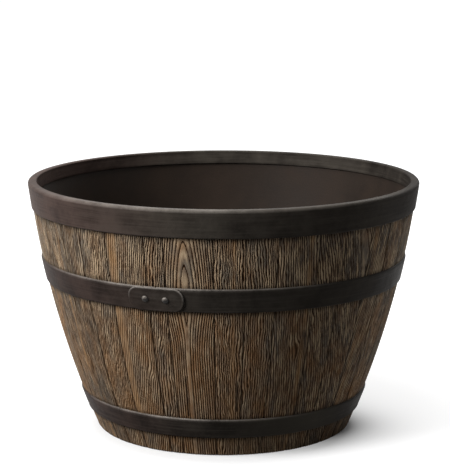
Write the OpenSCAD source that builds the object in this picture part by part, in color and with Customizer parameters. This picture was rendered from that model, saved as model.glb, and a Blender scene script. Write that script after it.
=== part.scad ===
// Half barrel planter in moulded resin: a tub with wood-look staves, three hoops,
// a riveted lap plate on the middle hoop and push-in drain plugs.
// Origin at the middle of the base, on the ground. +Z up, front towards -Y.

/* [Body] */
// Outer diameter across the rim
rim_d = 520; // [420:5:620]
// Height from the ground to the top of the rim
height = 333; // [280:1:400]
// Diameter of the stave faces at the ground
base_d = 340; // [280:2:400]
// How far the belly stands out from a straight cone
belly = 12; // [4:1:20]
// How low the belly sits, where 2 is halfway up and more is lower
belly_low = 2.1; // [1.6:0.1:3]
// Thickness of the tub's wall
wall = 6; // [5:0.5:9]
// Radius of the outer edge at the ground
base_edge_r = 4; // [2:0.5:6]

/* [Floor] */
// Thickness of the tub's floor
floor_t = 5; // [4:0.5:8]
// Height of the floor's underside above the ground
floor_lift = 13; // [11:0.5:20]
// Fillet between the floor and the wall
floor_fillet_r = 10; // [4:1:20]
// Width of the ring that stands on the ground
foot_w = 12; // [9:1:20]
// Stiffening bars across the underside
rib_bars = 3; // [2:1:4]
// Thickness of each bar
rib_t = 3; // [2:0.5:5]
// Depth of each bar below the floor
rib_h = 6; // [3:0.5:8]
// Width of each drain notch in the foot ring
notch_w = 24; // [12:1:40]
// Height of each drain notch
notch_h = 3.5; // [2:0.5:6]
// Angle from the rear notch to its neighbours
notch_spread = 50; // [30:5:70]

/* [Staves] */
// Number of staves round the tub
stave_count = 36; // [24:1:36]
// Azimuth of the joint nearest the front
stave_turn = -2.8; // [-5:0.1:5]
// Share of the joints' uneven spacing that is used, where 0 gives even staves
stave_jitter = 1; // [0:0.1:1.2]
// Width of the groove between two staves
joint_w = 1.6; // [1:0.1:3]
// Depth of the groove between two staves
joint_deep = 1.2; // [1.1:0.1:2]

/* [Hoops] */
// Thickness of a hoop
hoop_t = 3.5; // [2.5:0.5:5]
// Depth of the seat that a hoop lies in
hoop_seat = 1; // [0.5:0.25:1]
// Radius of a hoop's outer edges
hoop_edge_r = 2; // [0.5:0.25:2.25]
// Height of the rim hoop, lip included
rim_hoop_h = 36; // [30:1:50]
// Height of the middle hoop
mid_hoop_h = 31; // [24:1:40]
// Lower edge of the middle hoop above the ground
mid_hoop_z = 202; // [150:1:220]
// Height of the bottom hoop
low_hoop_h = 27; // [16:1:40]
// Lower edge of the bottom hoop above the ground
low_hoop_z = 27; // [12:1:60]

/* [Rim] */
// Thickness of the lip over the tub's edge
lip_t = 4; // [3:0.5:6]
// Radius of the lip's outer edge
lip_edge_r = 4; // [2:0.5:4.5]
// Radius of the lip's inner edge
lip_inner_r = 1.5; // [0.5:0.25:2]
// Thickness of the leg inside the tub
leg_t = 3; // [2.5:0.5:5]
// Length of the leg below the lip
leg_h = 14; // [12:1:24]
// Radius of the snap bead that holds the rim hoop
snap_r = 0.8; // [0.5:0.1:1]
// Depth of the snap bead below the tub's edge
snap_drop = 8; // [5:0.5:10]

/* [Lap plate] */
// Azimuth of the lap plate, where 0 is the front and less is to the left
lap_az = -20.1; // [-60:0.1:60]
// Length of the plate round the hoop
lap_len = 72; // [70:1:110]
// Thickness of the plate
lap_t = 2.5; // [1.5:0.5:4]
// Radius of the plate's corners
lap_corner_r = 11; // [4:0.5:11.5]
// Gap between the two ends of the middle hoop, under the plate
butt_gap = 1.5; // [0.5:0.1:3]
// Distance between the two rivets
rivet_pitch = 26; // [22:1:44]
// Radius of a rivet's domed head
rivet_head_r = 4.5; // [3.5:0.25:6]
// Height of a rivet's domed head
rivet_head_h = 2.8; // [1.5:0.1:3.4]
// Radius of a rivet's shank
rivet_r = 2; // [1.5:0.25:3]
// Radius of the tail, closed flat behind the hoop
rivet_tail_r = 3.5; // [3.25:0.25:5]
// Thickness of the tail
rivet_tail_t = 1; // [0.8:0.1:1.2]

/* [Drain] */
// Radius of the circle that the drain holes lie on
drain_ring_r = 85; // [60:1:100]
// Radius of a drain hole
drain_r = 8; // [6:0.5:10]
// Width of the ledge round the hole that carries the plug's flange
plug_ledge = 5; // [3:0.5:8]
// Thickness of the plug's flange
plug_flange_t = 3; // [2:0.5:3.5]
// How far a drain boss drops below the floor
boss_drop = 4; // [3:0.5:5]
// Wall of the boss outside the flange
boss_wall = 4; // [3:0.5:6]
// How far the plug's tip stands out under the boss
plug_tip = 1.5; // [0.5:0.5:3]
// Length of the plug's grip
grip_w = 16; // [10:1:18]
// Thickness of the grip
grip_t = 4; // [3:0.5:6]
// Height of the grip above the flange
grip_h = 10; // [6:1:16]

/* [Fits] */
// Clearance between pieces that are seated on each other
seat_gap = 0.15; // [0.1:0.05:0.2]
// Radial clearance of a plug in its hole
plug_gap = 0.3; // [0.2:0.05:0.4]

/* [Hidden] */
$fn = 96;

// Number of drain holes, each with a plug of its own
drain_count = 3;

// Shift of each joint from even spacing, in degrees, from the front one round to the right
joint_shifts = [0, -0.9, -1.7, 0.8, -0.2, 0.1, -0.8, -0.8, 1, 0.6, -1.4, 0.9,
                -0.5, 2, 0.4, -1.2, 0.7, -0.4, 1, -1.1, 0.5, 1.3, -0.7, 1.5,
                0.2, -1.6, 0.3, 0.8, -0.6, -0.9, -1.3, -1.2, -2.8, -2.6, 0, -4.2];

// Longest straight stretch of the wall's curve
curve_step = 32;
// Steps in a quarter of a round edge
edge_steps = 5;
// Steps across the snap bead
bead_steps = 4;
// Overshoot of a cutter beyond what it cuts
over = 1;

hoop_proud = hoop_t - hoop_seat;
// Height at which the rim is widest, where the lip's edge starts to round over
shoulder_z = height - lip_edge_r;
top_face_r = rim_d / 2 - hoop_proud;
base_face_r = base_d / 2;
floor_top = floor_lift + floor_t;
tub_top = height - lip_t - seat_gap;
rim_hoop_z = height - rim_hoop_h;
mid_z = mid_hoop_z + mid_hoop_h / 2;
foot_in_r = base_face_r - foot_w;
flange_r = drain_r + plug_ledge;
boss_r = flange_r + boss_wall;
boss_low = floor_lift - boss_drop;

wood = [0.40, 0.30, 0.20];
iron = [0.17, 0.16, 0.15];
rubber = [0.06, 0.06, 0.06];

// Height of the belly's curve before it is scaled to the belly's size
function belly_curve(t) = t - pow(abs(t), belly_low);
belly_peak_t = pow(1 / belly_low, 1 / (belly_low - 1));

// Radius of the stave faces at a height, from a cone and the belly on it
function face_r(z) =
    let (t = 1 - z / shoulder_z)
    base_face_r + (top_face_r - base_face_r) * (1 - t)
        + belly * belly_curve(t) / belly_curve(belly_peak_t);

// Lean of the wall from upright at a height, in degrees
function lean(z) = atan((face_r(z + over) - face_r(z - over)) / (2 * over));

// Points along the wall's curve from one height to another, shifted outwards by d
function wall_run(z0, z1, d) =
    let (n = max(1, ceil(abs(z1 - z0) / curve_step)))
    [for (i = [0:n]) let (z = z0 + (z1 - z0) * i / n) [face_r(z) + d, z]];

// Points of an arc about a centre
function arc_run(centre, r, a0, a1, n = edge_steps) =
    [for (i = [0:n]) let (a = a0 + (a1 - a0) * i / n) centre + r * [cos(a), sin(a)]];

// Azimuth of a stave joint: even spacing and the joint's own shift
function joint_az(i) =
    stave_turn + 360 * i / stave_count + stave_jitter * joint_shifts[i % len(joint_shifts)];

// Places children on the wall's middle hoop line, with +Z along the outward normal
// and the origin on the stave face
module at_lap(along) {
    az = lap_az + along / face_r(mid_z) * 180 / PI;
    rotate([0, 0, az])
        translate([0, -face_r(mid_z), mid_z])
            rotate([90 + lean(mid_z), 0, 0])
                children();
}

// Runs children for both rivets
module at_rivets() {
    for (side = [-1, 1])
        at_lap(side * rivet_pitch / 2)
            children();
}

// Section of the tub's wall, floor and foot ring
module tub_section() {
    bead_z = tub_top - snap_drop;
    function inner(z) = face_r(z) - wall;
    fillet_z = floor_top + floor_fillet_r;
    polygon(concat(
        [[0, floor_lift], [foot_in_r, floor_lift], [foot_in_r, 0]],
        arc_run([face_r(base_edge_r) - base_edge_r, base_edge_r], base_edge_r, -90, 0),
        wall_run(base_edge_r + over, low_hoop_z, 0),
        wall_run(low_hoop_z, low_hoop_z + low_hoop_h, -hoop_seat),
        wall_run(low_hoop_z + low_hoop_h, mid_hoop_z, 0),
        wall_run(mid_hoop_z, mid_hoop_z + mid_hoop_h, -hoop_seat),
        wall_run(mid_hoop_z + mid_hoop_h, rim_hoop_z, 0),
        wall_run(rim_hoop_z, tub_top, -hoop_seat),
        wall_run(tub_top, bead_z + snap_r, -wall),
        arc_run([inner(bead_z), bead_z], snap_r, 110, 250, bead_steps),
        wall_run(bead_z - snap_r, fillet_z, -wall),
        arc_run([inner(fillet_z) - floor_fillet_r, fillet_z], floor_fillet_r, 0, -90),
        [[0, floor_top]]
    ));
}

// Slot that follows the wall's curve, for one groove between staves
module joint_cutter() {
    rotate([90, 0, 0])
        linear_extrude(joint_w, center = true)
            polygon(concat(
                wall_run(-over, height, -joint_deep),
                [[rim_d, height], [rim_d, -over]]
            ));
}

// Places children at a drain hole, on the ground plane and clear of the bars
module at_drain(i) {
    rotate([0, 0, 90 + 90 / rib_bars + 360 * i / drain_count])
        translate([0, -drain_ring_r, 0])
            children();
}

module tub() {
    color(wood)
    difference() {
        union() {
            rotate_extrude() tub_section();
            for (i = [0:rib_bars - 1])
                rotate([0, 0, 180 * i / rib_bars])
                    translate([-foot_in_r - over, -rib_t / 2, floor_lift - rib_h])
                        cube([2 * (foot_in_r + over), rib_t, rib_h + over]);
            for (i = [0:drain_count - 1])
                at_drain(i)
                    translate([0, 0, boss_low])
                        cylinder(r = boss_r, h = boss_drop + over);
        }
        for (i = [0:stave_count - 1])
            rotate([0, 0, joint_az(i) - 90])
                joint_cutter();
        for (i = [0:drain_count - 1])
            at_drain(i) {
                cylinder(r = drain_r, h = floor_top);
                translate([0, 0, floor_top - plug_flange_t])
                    cylinder(r = flange_r, h = plug_flange_t + over);
            }
        for (side = [-1, 0, 1])
            rotate([0, 0, 180 + side * notch_spread])
                translate([-notch_w / 2, -base_face_r - belly, -over])
                    cube([notch_w, base_face_r - foot_in_r + 2 * belly, notch_h + over]);
        at_rivets()
            translate([0, 0, -hoop_seat - rivet_tail_t - 3 * seat_gap])
                cylinder(r = rivet_tail_r + 1, h = hoop_t);
    }
}

// Points of a hoop's round lower edge, from the outside down to the height z
function low_edge(z) =
    let (centre_z = z + hoop_edge_r)
    arc_run([face_r(centre_z) + hoop_proud - hoop_edge_r, centre_z], hoop_edge_r, 0, -90);

// Points of a hoop's round upper edge, from the height z down to the outside
function high_edge(z) =
    let (centre_z = z - hoop_edge_r)
    arc_run([face_r(centre_z) + hoop_proud - hoop_edge_r, centre_z], hoop_edge_r, 90, 0);

// Section of a plain hoop between two heights, with round outer edges
module hoop_section(z0, h) {
    low = z0 + seat_gap;
    high = z0 + h - seat_gap;
    polygon(concat(
        wall_run(low, high, seat_gap - hoop_seat),
        high_edge(high),
        wall_run(high - hoop_edge_r - over, low + hoop_edge_r + over, hoop_proud),
        low_edge(low)
    ));
}

// The rim hoop wraps over the tub's edge: an outer skirt, a lip and an inner leg
module rim_hoop_section() {
    low = rim_hoop_z + seat_gap;
    leg_out = -wall - seat_gap;
    leg_in = leg_out - leg_t;
    leg_z = tub_top - leg_h;
    bead_z = tub_top - snap_drop;
    groove_r = snap_r + seat_gap;
    lip_under = height - lip_t;
    lip_in_r = face_r(height - lip_inner_r) + leg_in;
    polygon(concat(
        low_edge(low),
        wall_run(low, lip_under, seat_gap - hoop_seat),
        wall_run(lip_under, bead_z + groove_r, leg_out),
        arc_run([face_r(bead_z) - wall, bead_z], groove_r, 110, 250, bead_steps),
        wall_run(bead_z - groove_r, leg_z, leg_out),
        wall_run(leg_z, height - lip_inner_r - over, leg_in),
        arc_run([lip_in_r + lip_inner_r, height - lip_inner_r], lip_inner_r, 180, 90),
        arc_run([rim_d / 2 - lip_edge_r, shoulder_z], lip_edge_r, 90, 0),
        wall_run(shoulder_z - over, low + hoop_edge_r + over, hoop_proud)
    ));
}

module rim_hoop() {
    color(iron)
    rotate_extrude() rim_hoop_section();
}

module middle_hoop() {
    color(iron)
    difference() {
        rotate_extrude() hoop_section(mid_hoop_z, mid_hoop_h);
        at_lap(0)
            cube([butt_gap, 2 * mid_hoop_h, 4 * hoop_t], center = true);
        at_rivets()
            translate([0, 0, -hoop_t])
                cylinder(r = rivet_r + seat_gap, h = 3 * hoop_t);
    }
}

module bottom_hoop() {
    color(iron)
    rotate_extrude() hoop_section(low_hoop_z, low_hoop_h);
}

// Outline of the lap plate laid flat, with round corners
module lap_outline() {
    w = lap_len;
    h = mid_hoop_h - 2 * seat_gap;
    r = lap_corner_r;
    square([w - 2 * r, h], center = true);
    square([w, h - 2 * r], center = true);
    for (x = [-1, 1], y = [-1, 1])
        translate([x * (w / 2 - r), y * (h / 2 - r)])
            circle(r);
}

module lap_plate() {
    inner = hoop_proud + seat_gap;
    color(iron)
    difference() {
        intersection() {
            rotate_extrude()
                polygon(concat(
                    wall_run(mid_hoop_z - over, mid_hoop_z + mid_hoop_h + over, inner),
                    wall_run(mid_hoop_z + mid_hoop_h + over, mid_hoop_z - over, inner + lap_t)
                ));
            rotate([0, 0, lap_az])
                translate([0, 0, mid_z])
                    rotate([90, 0, 0])
                        linear_extrude(rim_d)
                            lap_outline();
        }
        at_rivets()
            cylinder(r = rivet_r + seat_gap, h = 4 * hoop_t);
    }
}

// A rivet with a domed head on the plate and a flat tail behind the hoop
module rivet() {
    head_z = hoop_proud + lap_t + 2 * seat_gap;
    tail_z = -hoop_seat;
    dome_r = (pow(rivet_head_r, 2) + pow(rivet_head_h, 2)) / (2 * rivet_head_h);
    intersection() {
        translate([0, 0, head_z + rivet_head_h - dome_r])
            sphere(dome_r);
        translate([0, 0, head_z])
            cylinder(r = 2 * dome_r, h = 2 * dome_r);
    }
    translate([0, 0, tail_z - rivet_tail_t])
        cylinder(r = rivet_r, h = head_z - tail_z + rivet_tail_t + rivet_head_h / 2);
    translate([0, 0, tail_z - rivet_tail_t])
        cylinder(r = rivet_tail_r, h = rivet_tail_t);
}

module lap_rivets() {
    color(iron)
    at_rivets() rivet();
}

// A push-in plug: flange flush with the floor, shank through the hole, grip on top
module drain_plug(i) {
    flange_low = floor_top - plug_flange_t + seat_gap;
    shank_low = boss_low - plug_tip;
    color(rubber)
    at_drain(i) {
        translate([0, 0, flange_low])
            cylinder(r = flange_r - plug_gap, h = plug_flange_t - seat_gap);
        translate([0, 0, shank_low])
            cylinder(r = drain_r - plug_gap, h = flange_low - shank_low + seat_gap);
        translate([0, 0, floor_top - over]) {
            translate([-grip_w / 2 + grip_t / 2, -grip_t / 2, 0])
                cube([grip_w - grip_t, grip_t, grip_h + over]);
            for (side = [-1, 1])
                translate([side * (grip_w - grip_t) / 2, 0, 0])
                    cylinder(d = grip_t, h = grip_h + over);
        }
    }
}

tub();
rim_hoop();
middle_hoop();
lap_plate();
lap_rivets();
bottom_hoop();
drain_plug(0);  // drain_plug_1
drain_plug(1);  // drain_plug_2
drain_plug(2);  // drain_plug_3
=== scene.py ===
# %% [markdown]
# # A half barrel planter in moulded resin
#
# This lesson dresses a planter that was drawn in CAD. The CAD solids give the true sizes and say
# what moves. Blender adds what they leave out: brushed wood grain on the staves, satin hoops and a
# riveted plate.

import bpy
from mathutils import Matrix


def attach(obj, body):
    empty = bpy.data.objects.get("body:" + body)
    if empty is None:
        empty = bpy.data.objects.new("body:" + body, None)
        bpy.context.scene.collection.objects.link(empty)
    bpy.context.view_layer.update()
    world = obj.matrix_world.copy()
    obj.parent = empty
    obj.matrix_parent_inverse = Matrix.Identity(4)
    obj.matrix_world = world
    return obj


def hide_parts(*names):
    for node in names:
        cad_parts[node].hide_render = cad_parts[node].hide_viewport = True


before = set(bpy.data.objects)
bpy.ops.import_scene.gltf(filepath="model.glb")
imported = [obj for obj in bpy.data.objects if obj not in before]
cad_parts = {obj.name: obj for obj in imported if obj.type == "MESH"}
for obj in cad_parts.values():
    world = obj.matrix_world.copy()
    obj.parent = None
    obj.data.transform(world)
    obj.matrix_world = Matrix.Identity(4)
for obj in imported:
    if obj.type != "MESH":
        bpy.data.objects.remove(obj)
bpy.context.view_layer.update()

# %% [markdown]
# ## The camera
#
# A long lens from a little above, as in a shop photograph. Its place and lens were worked out from
# the ellipses of the rim and the hoops: the flatter an ellipse, the lower the camera.

# %% Camera
from math import cos, hypot, pi, radians, sin, sqrt, tan, tau

import bpy

CAMERA_DOWN = 10.73


def in_scene(name, data):
    """A new object that carries the data, linked to the scene."""
    obj = bpy.data.objects.new(name, data)
    bpy.context.scene.collection.objects.link(obj)
    return obj


camera_data = bpy.data.cameras.new("shop_camera")
camera_data.sensor_width = 36.0
camera_data.lens = 136.9
camera_data.shift_x = 0.0030
camera = in_scene("shop_camera", camera_data)
camera.location = (0.0, -2.348, 0.7006)
camera.rotation_euler = (radians(90.0 - CAMERA_DOWN), 0.0, 0.0)
bpy.context.scene.camera = camera
bpy.context.scene.view_settings.view_transform = "Standard"
print("camera at", tuple(camera.location), "with a lens of", camera_data.lens, "mm")

# %% [markdown]
# ## Formulas in nodes
#
# Geometry Nodes and shader nodes share the same Math node, so one small class serves both. A Field
# is one value in a tree. Adding or multiplying two Fields makes the node for it, and a formula then
# reads as it does on paper.


# %% A value in a node tree
def fill(tree, socket, value):
    """Puts a number in a socket, or links a Field to it."""
    if isinstance(value, Field):
        tree.links.new(value.socket, socket)
    else:
        socket.default_value = value


def add(tree, kind, inputs=(), output=0, **settings):
    """A new node with its settings and inputs. Returns one of its outputs as a Field."""
    node = tree.nodes.new(kind)
    for key, value in settings.items():
        setattr(node, key, value)
    for key, value in inputs.items() if isinstance(inputs, dict) else enumerate(inputs):
        fill(tree, node.inputs[key], value)
    return Field(tree, node.outputs[output])


def calc(tree, operation, *values):
    """One Math node."""
    return add(tree, "ShaderNodeMath", values, operation=operation)


def tell(name, tree):
    """Prints how many nodes a tree has by now."""
    print(name, "tree has", len(tree.nodes), "nodes")


class Field:
    """A value in a node tree that can be used in a formula."""

    def __init__(self, tree, socket):
        self.tree = tree
        self.socket = socket

    def to(self, operation, *others):
        return calc(self.tree, operation, self, *others)

    def __add__(self, other):
        return self.to("ADD", other)

    def __sub__(self, other):
        return self.to("SUBTRACT", other)

    def __rsub__(self, other):
        return calc(self.tree, "SUBTRACT", other, self)

    def __mul__(self, other):
        return self.to("MULTIPLY", other)

    def __truediv__(self, other):
        return self.to("DIVIDE", other)

    def __rtruediv__(self, other):
        return calc(self.tree, "DIVIDE", other, self)

    __radd__ = __add__
    __rmul__ = __mul__


print("formulas are ready")


# %% Steps, noise and vectors for a formula
def step_up(value, start, end):
    """Rises smoothly from 0 at start to 1 at end."""
    inputs = (value, start, end, 0.0, 1.0)
    return add(value.tree, "ShaderNodeMapRange", inputs, interpolation_type="SMOOTHSTEP")


def vector(tree, x=0.0, y=0.0, z=0.0):
    """Three values as one vector."""
    return add(tree, "ShaderNodeCombineXYZ", (x, y, z))


def noise(position, scale=1.0, detail=2.0, roughness=0.5):
    """Cloudy values about 0, mostly between -0.5 and 0.5."""
    inputs = {"Vector": position, "Scale": scale, "Detail": detail, "Roughness": roughness}
    return add(position.tree, "ShaderNodeTexNoise", inputs) - 0.5


def limited(value, low=0.0, high=1.0):
    """The value, kept between two limits."""
    return value.to("MAXIMUM", low).to("MINIMUM", high)


def split(position, x_scale=1.0, y_scale=1.0):
    """The first two parts of a position, each scaled."""
    node = position.tree.nodes.new("ShaderNodeSeparateXYZ")
    fill(position.tree, node.inputs[0], position)
    x, y = (Field(position.tree, socket) for socket in node.outputs[:2])
    return x * x_scale, y * y_scale


def grained(spot, x_scale, y_scale, **settings):
    """Noise at a spot of a board, stretched along the grain."""
    return noise(vector(spot.tree, *split(spot, x_scale, y_scale)), **settings)


print("noise and steps are ready")

# %% [markdown]
# ## The wall's shape
#
# These numbers repeat the ones that the CAD source was built from, in millimetres. The wall is a
# cone with a belly on it, and everything on the outside follows that one curve.

# %% Sizes of the planter, in millimetres
HEIGHT = 333.0
SHOULDER = 329.0
BASE_R = 170.0
TOP_R = 257.5
BELLY = 12.0
BELLY_LOW = 2.1
BASE_EDGE = 4.0
HOOP_PROUD = 2.5
BELLY_PEAK = (1 / BELLY_LOW) ** (1 / (BELLY_LOW - 1))
BELLY_SCALE = BELLY / (BELLY_PEAK - BELLY_PEAK**BELLY_LOW)
RIM_BAND = (297.15, HEIGHT)
MIDDLE_BAND = (202.15, 232.85)
BOTTOM_BAND = (27.15, 53.85)


def face_r(z):
    """Radius of the stave faces at a height."""
    t = 1 - z / SHOULDER
    belly = BELLY_SCALE * (t - abs(t) ** BELLY_LOW)
    return BASE_R * t + TOP_R * (1 - t) + belly


def face_r_field(z):
    """The same radius as a formula in a node tree."""
    t = 1 - z / SHOULDER
    belly = (t - t.to("ABSOLUTE").to("POWER", BELLY_LOW)) * BELLY_SCALE
    return BASE_R * t + TOP_R * (1 - t) + belly


print("radius at the ground, the middle and the rim", [round(face_r(z), 1) for z in (0, 165, 329)])

# %% [markdown]
# ## A tree and its inputs
#
# Each Geometry Nodes tree gets named inputs, so its sizes can be changed in Blender's modifier
# panel. A modifier stores them by the socket's identifier, and one helper looks that up.


# %% Helpers for Geometry Nodes
WELD_DISTANCE = 2e-6
# The name of the UV map that the trees store
BAKE_MAP = "OFBake"


def new_tree(name, inputs):
    """Returns a tree, the geometry that comes in, and its named inputs as Fields."""
    tree = bpy.data.node_groups.new(name, "GeometryNodeTree")
    tree.interface.new_socket("Geometry", in_out="INPUT", socket_type="NodeSocketGeometry")
    tree.interface.new_socket("Geometry", in_out="OUTPUT", socket_type="NodeSocketGeometry")
    tree.interface.new_socket("Finish", in_out="INPUT", socket_type="NodeSocketMaterial")
    for label, value in inputs.items():
        kind = "NodeSocketInt" if isinstance(value, int) else "NodeSocketFloat"
        tree.interface.new_socket(label, in_out="INPUT", socket_type=kind).default_value = value
    entry = tree.nodes.new("NodeGroupInput")
    fields = {socket.name: Field(tree, socket) for socket in entry.outputs if socket.name}
    return tree, fields.pop("Geometry"), fields


def after(geometry, kind, inputs=None, **settings):
    """Takes the geometry through one more node."""
    return add(geometry.tree, kind, {0: geometry, **(inputs or {})}, **settings)


def keep(geometry, name, value, kind="FLOAT", domain="POINT"):
    """Stores a value on the mesh, where a material can read it."""
    inputs = {"Name": name, "Value": value}
    settings = {"data_type": kind, "domain": domain}
    return after(geometry, "GeometryNodeStoreNamedAttribute", inputs, **settings)


def moved_to(geometry, position):
    """Puts every point at its new position."""
    return after(geometry, "GeometryNodeSetPosition", {"Position": position})


def welded(geometry):
    """Joins the points that share one place."""
    return after(geometry, "GeometryNodeMergeByDistance", {"Distance": WELD_DISTANCE})


def look_up(points, name, index):
    """The value that one point of the incoming mesh carries."""
    value = add(points.tree, "GeometryNodeInputNamedAttribute", {"Name": name})
    return after(points, "GeometryNodeSampleIndex", {"Value": value, "Index": index})


def end_tree(geometry, fields):
    """Realize Instances, Set Material and the way out."""
    real = after(geometry, "GeometryNodeRealizeInstances")
    dressed = after(real, "GeometryNodeSetMaterial", {"Material": fields["Finish"]})
    way_out = geometry.tree.nodes.new("NodeGroupOutput")
    fill(geometry.tree, way_out.inputs[0], dressed)


print("tree helpers are ready")

# %% [markdown]
# A tree is used through a modifier, and its result is frozen into a plain mesh at once. Loose ends
# are then closed and the faces turned outwards, so each piece is a clean closed shell.

# %% Helpers for pieces
import bmesh

CREASE = radians(50.0)


def new_object(name, vertices, faces=(), values=None):
    """An object from points in millimetres, with float values on its points."""
    mesh = bpy.data.meshes.new(name)
    mesh.from_pydata([[c / 1000 for c in v] for v in vertices], [], faces)
    for key, numbers in (values or {}).items():
        mesh.attributes.new(key, "FLOAT", "POINT").data.foreach_set("value", numbers)
    return in_scene(name, mesh)


def freeze(obj, tree=None, **inputs):
    """Runs a tree on the object and keeps what comes out as its own mesh."""
    if tree:
        modifier = obj.modifiers.new(tree.name, "NODES")
        modifier.node_group = tree
        for item in tree.interface.items_tree:
            key = item.name.lower().replace(" ", "_")
            if key in inputs and item.in_out == "INPUT":
                modifier[item.identifier] = inputs[key]
    graph = bpy.context.evaluated_depsgraph_get()
    mesh = bpy.data.meshes.new_from_object(
        obj.evaluated_get(graph), preserve_all_data_layers=True, depsgraph=graph
    )
    obj.modifiers.clear()
    obj.data = mesh


def tidy_shell(obj, crease=CREASE):
    """Welds doubles, closes open ends, turns faces outwards and marks the sharp edges."""
    shell = bmesh.new()
    shell.from_mesh(obj.data)
    bmesh.ops.remove_doubles(shell, verts=shell.verts, dist=WELD_DISTANCE)
    bmesh.ops.dissolve_degenerate(shell, edges=shell.edges, dist=WELD_DISTANCE / 2)
    open_edges = [e for e in shell.edges if e.is_boundary]
    bmesh.ops.holes_fill(shell, edges=open_edges, sides=0)
    bmesh.ops.recalc_face_normals(shell, faces=shell.faces)
    for face in shell.faces:
        face.smooth = True
    for edge in shell.edges:
        edge.smooth = len(edge.link_faces) == 2 and edge.calc_face_angle(0.0) < crease
    left_open = sum(e.is_boundary for e in shell.edges)
    shell.to_mesh(obj.data)
    shell.free()
    print(obj.name, len(obj.data.polygons), "faces,", left_open, "open edges")
    return obj


def place(obj, body, node):
    """Hands a finished piece to the frame, with the CAD node that it stands in for."""
    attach(obj, body)
    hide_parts(node)


# %% [markdown]
# ## The staves
#
# The real wall is one moulding that was cast from brushed boards, so each stave has its own grain.
# A table gives each stave its joint, the heart that its growth rings curve about, a slant, a tone
# and how patchy that tone is. The table is stored on a ring of 36 points. Staves that the front
# view shows are listed one by one, and a fixed seed fills in the rest.

# %% Joints and slants of the staves
import random

STAVE_TURN = -2.8
JOINT_SHIFTS = (
    0, -0.9, -1.7, 0.8, -0.2, 0.1, -0.8, -0.8, 1, 0.6, -1.4, 0.9,
    -0.5, 2, 0.4, -1.2, 0.7, -0.4, 1, -1.1, 0.5, 1.3, -0.7, 1.5,
    0.2, -1.6, 0.3, 0.8, -0.6, -0.9, -1.3, -1.2, -2.8, -2.6, 0, -4.2,
)
STAVES = len(JOINT_SHIFTS)
WALL_LEAN = 0.27
PLUMB_UNTIL = 48
dice = random.Random(11)


def joint_az(k):
    """Azimuth of a joint in degrees."""
    return STAVE_TURN + 360 * k / STAVES + JOINT_SHIFTS[k % STAVES]


def plumb_slant(k):
    """How far the grain leans against the stave, so that it stands plumb as seen from the front."""
    middle = (joint_az(k) + joint_az(k + 1)) / 2
    middle -= 360 * round(middle / 360)
    loose = dice.uniform(-0.12, 0.12)
    return WALL_LEAN * tan(radians(middle)) if abs(middle) < PLUMB_UNTIL else loose


print(STAVES, "staves, from", round(joint_az(0), 1), "degrees round")

# %% Staves from the seed
MEAN_R = 216.0
ARCHED_SHARE = 0.25


def any_stave(k):
    """The values of one stave. Lengths are in millimetres, start and end in radians."""
    start, end = radians(joint_az(k)), radians(joint_az(k + 1))
    half = (end - start) * MEAN_R / 2
    side = dice.choice((-1, 1))
    arched = dice.random() < ARCHED_SHARE
    return {
        "start": start,
        "end": end,
        "heart_x": side * (dice.uniform(0, 12) if arched else dice.uniform(35, 90)),
        "heart_deep": dice.uniform(-8, 12) if arched else dice.uniform(8, 30),
        "heart_slope": side * dice.uniform(0.14, 0.2) if arched else side * 0.04,
        "heart_room": 3.5 if arched else 0.0,
        "slant": plumb_slant(k),
        "wild": 0.5 if arched else dice.uniform(0.8, 1.3),
        "pitch": dice.uniform(2.65, 3.1),
        "knot_x": dice.uniform(-0.6, 0.6) * half,
        "knot_z": dice.uniform(70, 290),
        "knot_size": dice.choice((0.0, 0.0, 1.6)),
        "band_x": dice.choice((-1, 1)) * (half - 4.0),
        "band_w": dice.choice((0.0, 0.0, 4.0)),
        "crack_x": dice.uniform(-0.6, 0.6) * half,
        "crack_z": dice.uniform(70, 280),
        "crack_long": dice.choice((0.0, 0.0, 0.0, 24.0)),
        "tone": dice.uniform(-0.5, 0.4),
        "warm": dice.uniform(-0.4, 0.4),
        "patchy": 1.0,
        "step": dice.uniform(-0.22, 0.18),
        "seed": 37.0 * k,
    }


stave_table = [any_stave(k) for k in range(STAVES)]
print("each stave has", len(stave_table[0]), "values")

# %% Staves listed one by one
PLAIN = dict(
    heart_room=0.0, heart_deep=16.0, heart_slope=0.04, knot_size=0.0, band_w=0.0, crack_long=0.0
)
BY_HAND = {
    35: dict(heart_x=-5.4, heart_deep=6.15, heart_slope=0.158, heart_room=3.5, pitch=2.75,
             slant=0.0, wild=0.3, crack_x=-10.6, crack_z=86.0, crack_long=27.0,
             tone=0.15, warm=0.4),
    34: dict(heart_x=58.0, tone=0.05, warm=0.1, wild=1.2),
    33: dict(heart_x=62.0, knot_x=17.0, knot_z=122.0, knot_size=1.3, band_x=-18.0,
             band_w=7.5, tone=0.25, warm=0.3),
    32: dict(heart_x=-56.0, tone=0.05, warm=0.0),
    31: dict(heart_x=50.0, tone=-0.4, warm=-0.3),
    30: dict(heart_x=40.0, band_x=8.0, band_w=3.0, tone=-0.25, warm=-0.5),
    0: dict(heart_x=-60.0, band_x=5.0, band_w=3.0, crack_x=10.8, crack_z=86.0,
            crack_long=20.0, tone=0.1, warm=0.3),
    1: dict(heart_x=55.0, heart_deep=10.0, tone=0.05, warm=0.0),
    2: dict(heart_x=60.0, knot_x=13.0, knot_z=151.0, knot_size=1.6,
            band_x=16.0, band_w=3.6, tone=0.15, warm=-0.1, patchy=1.4),
    3: dict(heart_x=-44.0, pitch=3.2, tone=0.08, warm=-0.2, patchy=1.8),
    4: dict(heart_x=38.0, pitch=3.4, tone=-0.08, warm=-0.3, patchy=2.0),
    # The pale bands by the left edges of staves 5 and 6 are painted highlights, where those edges
    # would catch light from the right.
    5: dict(heart_x=50.0, band_x=-9.0, band_w=5.0, pitch=3.6, tone=0.05, warm=-0.3, patchy=2.0),
    6: dict(heart_x=-48.0, band_x=-6.0, band_w=5.0, pitch=3.8, tone=-0.1, warm=0.1, patchy=2.0),
}
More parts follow.
